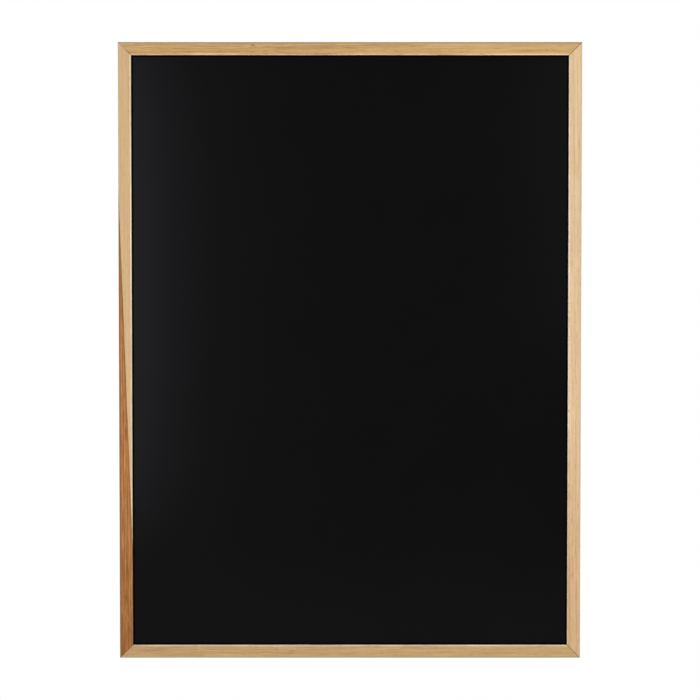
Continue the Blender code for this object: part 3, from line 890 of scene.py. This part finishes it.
glue_recess = 0.5 * MM
glue_arris = 1.2 * MM
glue_section = [
    # inset, depth
    (glue_recess, -frame_depth + glue_recess),
    (face_width - glue_arris, -frame_depth + glue_recess),
    (face_width - glue_recess, -frame_depth + glue_arris),
    (face_width - glue_recess, -frame_depth + lip_thickness - glue_recess),
    (back_width - glue_recess, -frame_depth + lip_thickness - glue_recess),
    (back_width - glue_recess, -glue_recess),
    (glue_recess, -glue_recess),
]
glue_corners = [
    # left or right, bottom or top, turn
    (-1, -1, 0.0),
    (-1, 1, math.pi / 2),
    (1, 1, math.pi),
    (1, -1, -math.pi / 2),
]
# the plate is a little thinner than the gap, so that it touches neither member's cut
glue_fill = 0.98
half_gap = Vector((-1.0, 0.0, 1.0)).normalized() * (glue_fill * mitre_gap / 2)
glue_shape = bmesh.new()
for x, z, turn in glue_corners:
    corner = placed_at((x * board_width / 2, 0.0, z * board_height / 2), turn)
    skin_rows(glue_shape, [
        [corner @ (Vector((inset, depth, inset)) + half_gap * side) for inset, depth in glue_section]
        for side in (-1, 1)
    ])
mitre_glue = new_object("mitre_glue", mesh_from(glue_shape, "mitre_glue"))
mitre_glue.data.materials.append(dried_glue)
report_mesh(mitre_glue)
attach(mitre_glue, "root")

# %% [markdown]
# ## Chalk panel
#
# The sheet is 3 mm hardboard. Its smooth front is rolled with black chalk lacquer: nearly black, matt, with
# a very fine stipple that the roller leaves and the chalk bites on. Its bare back is brown and carries the
# print of the wire screen that it was pressed on. The solid's shape is right, so only its material is made.
# One material does both sides, because the depth of a point tells which side it is on.

# %% Which side, and how near the edge
hardboard, tree = new_material("chalk_lacquer_on_hardboard")
here = add_node(tree, 'TexCoord').outputs["Object"]
through = add_node(tree, 'SeparateXYZ', [here]).outputs["Y"]
panel_low, panel_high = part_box("chalk_panel")
# the lacquer covers the front and runs a little way round the edge
lacquer_edge = panel_low.y + 0.6 * MM
is_bare = add_node(tree, 'MapRange', [through, lacquer_edge, lacquer_edge + 0.4 * MM])
# along the lip, a line about two millimetres wide on the sheet is painted shade: nearly black, and fully
# rough so that it mirrors no lamp
sight_half = (board_width / 2 - face_width, 0.0, board_height / 2 - face_width)
either_side = add_node(tree, 'VectorMath', [here], operation='ABSOLUTE')
past_sight = add_node(tree, 'VectorMath', [either_side, sight_half], operation='SUBTRACT')
past = add_node(tree, 'SeparateXYZ', [past_sight]).outputs
nearest_edge = add_node(tree, 'Math', [past["X"], past["Z"]], operation='MAXIMUM')
painted_shade_line = add_node(tree, 'MapRange', [nearest_edge, -2.3 * MM, -1.6 * MM], **gently)
print(f"lacquer ends at y {lacquer_edge / MM:.2f} mm")

# %% Lacquered front
# hardly darker and paler clouds, a hand wide
cloudy = add_node(tree, 'TexNoise', {"Vector": here, "Scale": 9.0, "Detail": 3.0})
lacquer = "080806"
# the second coat is the painted shade line along the lip
for mask, coat in ((cloudy, "0B0B09"), (painted_shade_line, "020000")):
    lacquer = add_node(tree, 'Mix', {0: mask, "A": lacquer, "B": coat}, data_type='RGBA')
# the roller's stipple is about 0.3 mm: it is drawn at 0.8 mm, so that it shows as a faint texture
stipple_size = 0.8 * MM
stipple = add_node(tree, 'TexNoise', {"Vector": here, "Scale": 1 / stipple_size, "Detail": 1.0})
stipple_height = add_node(tree, 'Math', [stipple, 0.02], operation='MULTIPLY')
# full roughness in the painted shade line keeps the lamps' reflection out of it
front_roughness = add_node(tree, 'MapRange', {"Value": painted_shade_line, "To Min": 0.17, "To Max": 1.0})

# %% Bare back
# wood fibres pressed flat: short dark flecks a millimetre or two long
flecks = add_node(tree, 'TexNoise', {"Vector": here, "Scale": 420.0, "Detail": 4.0, "Roughness": 0.7})
fleck_share = add_node(tree, 'MapRange', [flecks, 0.28, 0.72])
# the screen's wires lie 1.6 mm apart both ways: a wave's length is 2 pi / (20 x scale)
screen_scale = 2 * math.pi / 20 / (1.6 * MM)
waves = [
    add_node(tree, 'TexWave', {"Vector": here, "Scale": screen_scale}, bands_direction=way).outputs["Fac"]
    for way in ('X', 'Z')
]
screen_print = add_node(tree, 'Math', waves, operation='MULTIPLY')
# its pits are darker than the pads between them
darker_pits = add_node(tree, 'Math', [screen_print, -0.4, 0.45], operation='MULTIPLY_ADD', use_clamp=True)
bare = "62452D"
for mask, coat in ((fleck_share, "94704C"), (darker_pits, "4A3220")):
    bare = add_node(tree, 'Mix', {0: mask, "A": bare, "B": coat}, data_type='RGBA')

# %% Both sides together
screen_height = add_node(tree, 'Math', [flecks, 0.3, screen_print], operation='MULTIPLY_ADD')
panel_colour = add_node(tree, 'Mix', {0: is_bare, "A": lacquer, "B": bare}, data_type='RGBA')
panel_relief, panel_roughness = [
    add_node(tree, 'Mix', {0: is_bare, "A": front, "B": back})
    for front, back in ((stipple_height, screen_height), (front_roughness, 0.8))
]
end_material(tree, {
    "Base Color": panel_colour,
    "Roughness": panel_roughness,
    "Normal": add_node(tree, 'Bump', {"Height": panel_relief, "Strength": 0.6, "Distance": 0.25 * MM}),
    # the lacquer is full of matting powder: it mirrors a tenth of what a glossy paint does, and coldly
    "Specular IOR Level": 0.035,
    "Specular Tint": (0.82, 0.80, 1.0, 1.0),
})
frame["nodes"]["chalk_panel"].material_slots[0].material = hardboard
print(f"{hardboard.name}: {len(tree.nodes)} nodes")

# %% [markdown]
# ## Steel and zinc
#
# V-nails and flexible points are bare spring steel, grey with a blue cast and faint rolling lines. The
# hangers are mild steel with bright zinc plating, which is paler and cloudy at close range. Both are metals,
# so their colour is what they mirror, and a little noise in the roughness breaks the mirror up.

# %% Metals
metal_looks = {
    # name: paler colour, darker colour, roughness from and to, size of the clouds
    "rolled_nail_steel": ("A2A4A7", "7C7E82", 0.32, 0.5, 1.2 * MM),
    "blued_point_steel": ("8E9196", "66696F", 0.3, 0.48, 1.6 * MM),
    "zinc_plated_strap_steel": ("CFCFC8", "A9A9A3", 0.24, 0.42, 1.4 * MM),
    "zinc_plated_wire_steel": ("D3D3CD", "B1B1AB", 0.2, 0.36, 1.0 * MM),
    "zinc_plated_screw_steel": ("CDCDC4", "A8A79E", 0.22, 0.4, 0.9 * MM),
}
metals = {}
for metal_name, (paler, darker, smoothest, roughest, cloud) in metal_looks.items():
    metals[metal_name], tree = new_material(metal_name)
    here = add_node(tree, 'TexCoord').outputs["Object"]
    clouds = add_node(tree, 'TexNoise', {"Vector": here, "Scale": 1 / cloud, "Detail": 3.0})
    drawn = add_node(tree, 'Mapping', {"Vector": here, "Scale": (5 / cloud, 5 / cloud, 0.4 / cloud)})
    scratches = add_node(tree, 'TexNoise', {"Vector": drawn, "Scale": 1.0, "Detail": 2.0})
    half_clouds = add_node(tree, 'Math', [clouds, 0.5], operation='MULTIPLY')
    worn = add_node(tree, 'Math', [scratches, 0.5, half_clouds], operation='MULTIPLY_ADD')
    end_material(tree, {
        "Base Color": add_node(tree, 'Mix', {0: clouds, "A": paler, "B": darker}, data_type='RGBA'),
        "Metallic": 1.0,
        "Roughness": add_node(tree, 'MapRange', [worn, 0.3, 0.7, smoothest, roughest]),
        "Normal": add_node(tree, 'Bump', {"Height": worn, "Strength": 0.2, "Distance": 0.03 * MM}),
    })
for nail_name in nail_names:
    frame["nodes"][nail_name].material_slots[0].material = metals["rolled_nail_steel"]
print(f"{len(metals)} metals")

# %% [markdown]
# ## Where the small parts go
#
# Ten flexible points and four hangers are the same shape, repeated. A mesh of loose points holds their
# places, and each point carries the turn of the member that it sits on. A tree then puts a copy on each.

# %% Places as a mesh
def place_mesh(name, places):
    """Loose points for (place, turn about Y)."""
    mesh = bpy.data.meshes.new(name)
    mesh.from_pydata([place for place, turn in places], [], [])
    turns = mesh.attributes.new("turn", 'FLOAT', 'POINT')
    turns.data.foreach_set("value", [turn for place, turn in places])
    return mesh


def copies_on_places(tree, places, shape):
    """A copy of the shape on every place, turned as the place says."""
    turn = add_node(tree, 'InputNamedAttribute', {"Name": "turn"}, data_type='FLOAT')
    rotation = add_node(tree, 'EulerToRotation', [add_node(tree, 'CombineXYZ', {"Y": turn})])
    return add_node(tree, 'InstanceOnPoints', {"Points": places, "Instance": shape, "Rotation": rotation})


hanger_places = {
    "left": ((-293.9 * MM, 0.0, 300 * MM), 0.0),
    "right": ((293.9 * MM, 0.0, 300 * MM), 0.0),
    "top": ((-200 * MM, 0.0, 393.9 * MM), -math.pi / 2),
    "bottom": ((-200 * MM, 0.0, -393.9 * MM), -math.pi / 2),
}
point_driven = 7.5 * MM
point_middle = -7.15 * MM
point_stations = {"stile": (-260 * MM, 0.0, 260 * MM), "rail": (-160 * MM, 160 * MM)}
point_places = []
for member_name, (place, turn, length) in member_places.items():
    for along in point_stations[member_name.split("_")[1]]:
        tip = placed_at(place, turn) @ Vector((back_width - point_driven, point_middle, along))
        point_places.append((tip, turn))
print(f"{len(point_places)} flexible points, {len(hanger_places)} hangers")

# %% [markdown]
# ## Flexible points
#
# A flexible point is a tongue of spring steel, fired into the rabbet's wall and bent down by hand over the
# back of the sheet. It is stamped: flat, with a pointed end in the wood, rounded corners on the free end and
# a rib pressed along it. The outline is swept by its own thickness, and the rib is a thin rod sunk into it.

# %% Flexible point tree
point_length = 16 * MM
half_thickness = 0.25 * MM
point_sizes = {
    "Length": point_length,
    "Half Width": 3 * MM,
    "Lower Face": (0.0, 0.0, -half_thickness),
    "Upper Face": (0.0, 0.0, half_thickness),
    "Taper": 3 * MM,
    "Corner": 0.8 * MM,
    "Rib": 0.4 * MM,
    "Rib Start": (0.55 * point_length, 0.0, -half_thickness),
    "Rib End": (0.9 * point_length, 0.0, -half_thickness),
    "Material": metals["blued_point_steel"],
}
tree, size = new_tree("flexible points", "Places", *point_sizes)
other_half = add_node(tree, 'Math', [size["Half Width"], -1.0], operation='MULTIPLY')
tongue_outline = draw_outline(tree, [
    # along, across, radius
    (0.0, 0.0, 0.1 * MM),
    (size["Taper"], other_half, 0.3 * MM),
    (size["Length"], other_half, size["Corner"]),
    (size["Length"], size["Half Width"], size["Corner"]),
    (size["Taper"], size["Half Width"], 0.3 * MM),
], steps=4)
rib_round = add_node(tree, 'CurvePrimitiveCircle', {"Resolution": 10, "Radius": size["Rib"]})
sweeps = [("Lower Face", "Upper Face", tongue_outline), ("Rib Start", "Rib End", rib_round)]
swept = []
for start, end, section in sweeps:
    line = add_node(tree, 'CurvePrimitiveLine', [size[start], size[end]])
    swept.append(add_node(tree, 'CurveToMesh', {"Curve": line, "Profile Curve": section, "Fill Caps": True}))
ribbed = add_node(tree, 'JoinGeometry', [swept])
# lying on the sheet: what was across now runs along the member, and the rib looks backwards
lying = add_node(tree, 'Transform', {"Geometry": ribbed, "Rotation": (math.pi / 2, 0.0, 0.0)})
end_tree(tree, copies_on_places(tree, size["Places"], lying), size["Material"])

# %% Flexible points
flexible_points = new_object("flexible_points", place_mesh("flexible_points", point_places))
run_tree(flexible_points, tree, point_sizes)
finish_mesh(flexible_points)
report_mesh(flexible_points)
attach(flexible_points, "root")
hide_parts(*[name for name in frame["nodes"] if name.startswith("point_")])

# %% [markdown]
# ## Hanger straps
#
# A strap is one strip of zinc-plated sheet, folded in half round the ring's bar: a lower leaf on the wood,
# a knuckle, and an upper leaf on top of it. It narrows at the knuckle and is rounded at its far end. It is
# drawn as a row of stations along the strip, each with its own width, and skinned over. The screw hole is
# cut through both leaves.

# %% Strap stations
strap_sheet = 0.8 * MM
lower_leaf = 0.7 * MM
upper_leaf = 1.8 * MM
knuckle_radius = 1.5 * MM
bar_height = lower_leaf + knuckle_radius
strap_reach = 17.6 * MM
screw_distance = 14 * MM
strap_half = 3.5 * MM
knuckle_half = 3.0 * MM
end_radius = 3.0 * MM
narrow_from = -3.1 * MM
narrow_to = -2.6 * MM
# the strip turns by this much round the bar, in so many steps
knuckle_turn = 225
knuckle_steps = 23


def strap_half_width(to_bar):
    """Half the strip's width at a distance from the bar, measured along the leaf."""
    from_end = strap_reach + to_bar
    if from_end < end_radius:
        return strap_half - end_radius + math.sqrt(end_radius ** 2 - (end_radius - from_end) ** 2)
    narrowing = min(max((to_bar - narrow_from) / (narrow_to - narrow_from), 0.0), 1.0)
    return strap_half + (knuckle_half - strap_half) * narrowing


def strap_stations():
    """Points down the middle of the strip, seen from the side: towards the bar, away from the wood."""
    end_steps = [end_radius * (1 - math.cos(math.radians(15 * step))) for step in range(7)]
    leaf = [-strap_reach + max(step, 0.02 * MM) for step in end_steps] + [-8 * MM, narrow_from, narrow_to]
    points = [(x, lower_leaf) for x in leaf + [-1.2 * MM]]
    for step in range(knuckle_steps + 1):
        angle = math.radians(-90 + knuckle_turn * step / knuckle_steps)
        points.append((knuckle_radius * math.cos(angle), bar_height + knuckle_radius * math.sin(angle)))
    # the strip comes down on a soft bend onto the lower leaf
    points += [(-1.75 * MM, 2.55 * MM), (-2.2 * MM, 2.1 * MM), (-2.7 * MM, 1.86 * MM)]
    points += [(x, upper_leaf) for x in leaf[-2::-1]]
    return [Vector(point) for point in points]


def strap_section(half_width):
    """Section of the strip: across, through. Its corners are broken by the shears."""
    broken = 0.12 * MM
    half = strap_sheet / 2
    corners = []
    for side, face in ((1, 1), (-1, 1), (-1, -1), (1, -1)):
        flat = (side * (half_width - broken), face * half)
        steep = (side * half_width, face * (half - broken))
        corners += [steep, flat] if side * face > 0 else [flat, steep]
    return corners


# %% Skin a strap and cut its hole
stations = strap_stations()
rows = []
for index, station in enumerate(stations):
    way = (stations[min(index + 1, len(stations) - 1)] - stations[max(index - 1, 0)]).normalized()
    through_way = Vector((-way.y, way.x))
    row = []
    for across, through in strap_section(strap_half_width(min(station.x, 0.0))):
        side_view = station + through_way * through
        row.append((across, side_view.y, side_view.x))
    rows.append(row)
strap_shape = bmesh.new()
skin_rows(strap_shape, rows)
hole_radius = 1.55 * MM
hole_middle = (0.0, 1.2 * MM, -screw_distance)
hole_shape = bmesh.new()
bmesh.ops.create_cone(
    hole_shape, cap_ends=True, segments=32, radius1=hole_radius, radius2=hole_radius, depth=8 * MM,
    matrix=Matrix.Translation(hole_middle) @ Matrix.Rotation(math.pi / 2, 4, 'X'))
hole = bpy.data.objects.new("strap_hole", mesh_from(hole_shape, "strap_hole"))
one_strap = new_object("one_strap", mesh_from(strap_shape, "strap"))
cut_from(one_strap, object=hole)
finish_mesh(one_strap, sharpest=30)
report_mesh(one_strap)

# %% Four straps
all_straps = bmesh.new()
for place, turn in hanger_places.values():
    first_new = len(all_straps.verts)
    all_straps.from_mesh(one_strap.data)
    all_straps.verts.ensure_lookup_table()
    bmesh.ops.transform(all_straps, matrix=placed_at(place, turn), verts=all_straps.verts[first_new:])
for helper in (one_strap, hole):
    bpy.data.objects.remove(helper)
hanger_straps = new_object("hanger_straps", mesh_from(all_straps, "hanger_straps"))
hanger_straps.data.materials.append(metals["zinc_plated_strap_steel"])
report_mesh(hanger_straps)
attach(hanger_straps, "root")
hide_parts(*[f"hanger_strap_{side}" for side in hanger_places])

# %% [markdown]
# ## Hanger rings
#
# A ring is bent from round wire to the shape of a D, with its straight bar inside the knuckle. The same
# outline helper draws its middle line, and a circle is swept along it. Every ring swings on its own body, so
# each one is a piece of its own. At rest it lies folded on its strap and leans out until it clears it.

# %% Ring tree
# this far out, the wire clears the strap's upper leaf
ring_lean = math.radians(8.28)
ring_sizes = {
    "Half Width": 4.7 * MM,
    "Reach": 9.2 * MM,
    "Corner": 1.4 * MM,
    "Wire Radius": 0.8 * MM,
    "Bar Height": bar_height,
    "Lean": ring_lean,
    "Material": metals["zinc_plated_wire_steel"],
}
tree, size = new_tree("wire ring", "Places", *ring_sizes)
other_side, bow_end = [
    add_node(tree, 'Math', [size[name], -1.0], operation='MULTIPLY') for name in ("Half Width", "Reach")
]
ring_line = draw_outline(tree, [
    (other_side, 0.0, size["Corner"]),
    (size["Half Width"], 0.0, size["Corner"]),
    (size["Half Width"], bow_end, size["Half Width"]),
    (other_side, bow_end, size["Half Width"]),
], steps=16)
wire_section = add_node(tree, 'CurvePrimitiveCircle', {"Resolution": 18, "Radius": size["Wire Radius"]})
wire = add_node(tree, 'CurveToMesh', {"Curve": ring_line, "Profile Curve": wire_section})
lean_angle = add_node(tree, 'Math', [size["Lean"], math.pi / 2], operation='ADD')
leaned_ring = add_node(tree, 'Transform', {
    "Geometry": add_node(tree, 'MergeByDistance', {"Geometry": wire, "Distance": 0.001 * MM}),
    "Translation": add_node(tree, 'CombineXYZ', {"Y": size["Bar Height"]}),
    "Rotation": add_node(tree, 'CombineXYZ', {"X": lean_angle}),
})
end_tree(tree, copies_on_places(tree, size["Places"], leaned_ring), size["Material"])

# %% Rings
for side, place_and_turn in hanger_places.items():
    ring_piece = new_object(f"{side}_ring_wire", place_mesh(f"{side}_ring_wire", [place_and_turn]))
    run_tree(ring_piece, tree, ring_sizes)
    finish_mesh(ring_piece, sharpest=60)
    report_mesh(ring_piece)
    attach(ring_piece, f"{side}_ring")
    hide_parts(f"hanger_ring_{side}")
    low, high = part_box(f"hanger_ring_{side}")
    off = [min(vertex.co[axis] for vertex in ring_piece.data.vertices) - low[axis] for axis in range(3)]
    print(f"  lowest corner off the solid's by {[round(value / MM, 2) for value in off]} mm")

# %% [markdown]
# ## Screws
#
# Each hanger is held by a small pan-head wood screw. Its section is turned: swept round a circle so small
# that its middle closes up. A cross is sunk into the head for the driver, and a thread winds down the shank,
# where only a taken-out screw would show it.

# %% Screw tree
head_radius = 2.6 * MM
head_height = 1.7 * MM
thread_turns = 6.0
thread_pitch = 1.2 * MM
screw_sizes = {
    "Head Radius": head_radius,
    "Head Height": head_height,
    "Dome": 1.3 * MM,
    "Shank Radius": 1.25 * MM,
    "Tip Start": -8.5 * MM,
    "Tip End": -11 * MM,
    # the cross goes 0.9 mm deep: half of its height is above the head
    "Cross Size": (0.7 * MM, 1.25 * head_radius, 2 * 0.9 * MM),
    "Cross Place": (0.0, 0.0, -head_height),
    "Thread Start": (0.0, 0.0, thread_pitch),
    "Thread Length": thread_turns * thread_pitch,
    "Thread Height": 0.3 * MM,
    "Seat": (0.0, 2.5 * MM, -screw_distance),
    "Material": metals["zinc_plated_screw_steel"],
}
tree, size = new_tree("pan head screws", "Places", *screw_sizes)
turned_section = draw_outline(tree, [
    # out from the axis, up the axis, radius
    (0.0, size["Head Height"], 0.0),
    (size["Head Radius"], size["Head Height"], size["Dome"]),
    (size["Head Radius"], 0.0, 0.15 * MM),
    (size["Shank Radius"], 0.0, 0.1 * MM),
    (size["Shank Radius"], size["Tip Start"], 0.4 * MM),
    (0.0, size["Tip End"], 0.0),
], closed=False, steps=8)
tiny_circle = add_node(tree, 'CurvePrimitiveCircle', {"Resolution": 32, "Radius": 0.001 * MM})
upright_circle = add_node(tree, 'SetCurveNormal', [tiny_circle], mode='Z_UP')
turned = add_node(tree, 'CurveToMesh', {"Curve": upright_circle, "Profile Curve": turned_section})
closed_turning = add_node(tree, 'MergeByDistance', {"Geometry": turned, "Distance": 0.01 * MM})
outward = add_node(tree, 'FlipFaces', [closed_turning])
print(f"turned section: {len(tree.nodes)} nodes")

# %% Cross, thread and place
# so far the head looks along -Z: its top is at minus the head's height, and the tip at plus the length
one_bar = add_node(tree, 'MeshCube', [size["Cross Size"]])
other_bar = add_node(tree, 'Transform', {"Geometry": one_bar, "Rotation": (0.0, 0.0, math.pi / 2)})
bars = add_node(tree, 'MeshBoolean', {1: [one_bar, other_bar]}, operation='UNION', solver='EXACT')
cross_turn = (0.0, 0.0, math.radians(25))
cross = add_node(tree, 'Transform', [bars, size["Cross Place"], cross_turn])
driven = add_node(tree, 'MeshBoolean', [outward, cross], operation='DIFFERENCE', solver='EXACT')
winding = add_node(tree, 'CurveSpiral', {
    "Resolution": 24,
    "Rotations": thread_turns,
    "Start Radius": size["Shank Radius"],
    "End Radius": size["Shank Radius"],
    "Height": size["Thread Length"],
})
upright_winding = add_node(tree, 'SetCurveNormal', [winding], mode='Z_UP')
ridge = add_node(tree, 'CurvePrimitiveCircle', {"Resolution": 4, "Radius": size["Thread Height"]})
ridged = {"Curve": upright_winding, "Profile Curve": ridge, "Fill Caps": True}
thread = add_node(tree, 'CurveToMesh', ridged)
lowered_thread = add_node(tree, 'Transform', [thread, size["Thread Start"]])
whole_screw = add_node(tree, 'JoinGeometry', [[driven, lowered_thread]])
seated = add_node(tree, 'Transform', [whole_screw, size["Seat"], (math.pi / 2, 0.0, 0.0)])
end_tree(tree, copies_on_places(tree, size["Places"], seated), size["Material"])

# %% Screws
hanger_screws = new_object("hanger_screws", place_mesh("hanger_screws", list(hanger_places.values())))
run_tree(hanger_screws, tree, screw_sizes)
finish_mesh(hanger_screws)
report_mesh(hanger_screws)
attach(hanger_screws, "root")
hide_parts(*[f"hanger_screw_{side}" for side in hanger_places])


scene_low, scene_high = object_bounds()
for name, extent in (("cad", cad_high - cad_low), ("visual", scene_high - scene_low)):
    print(name, [round(value / MM, 2) for value in extent])
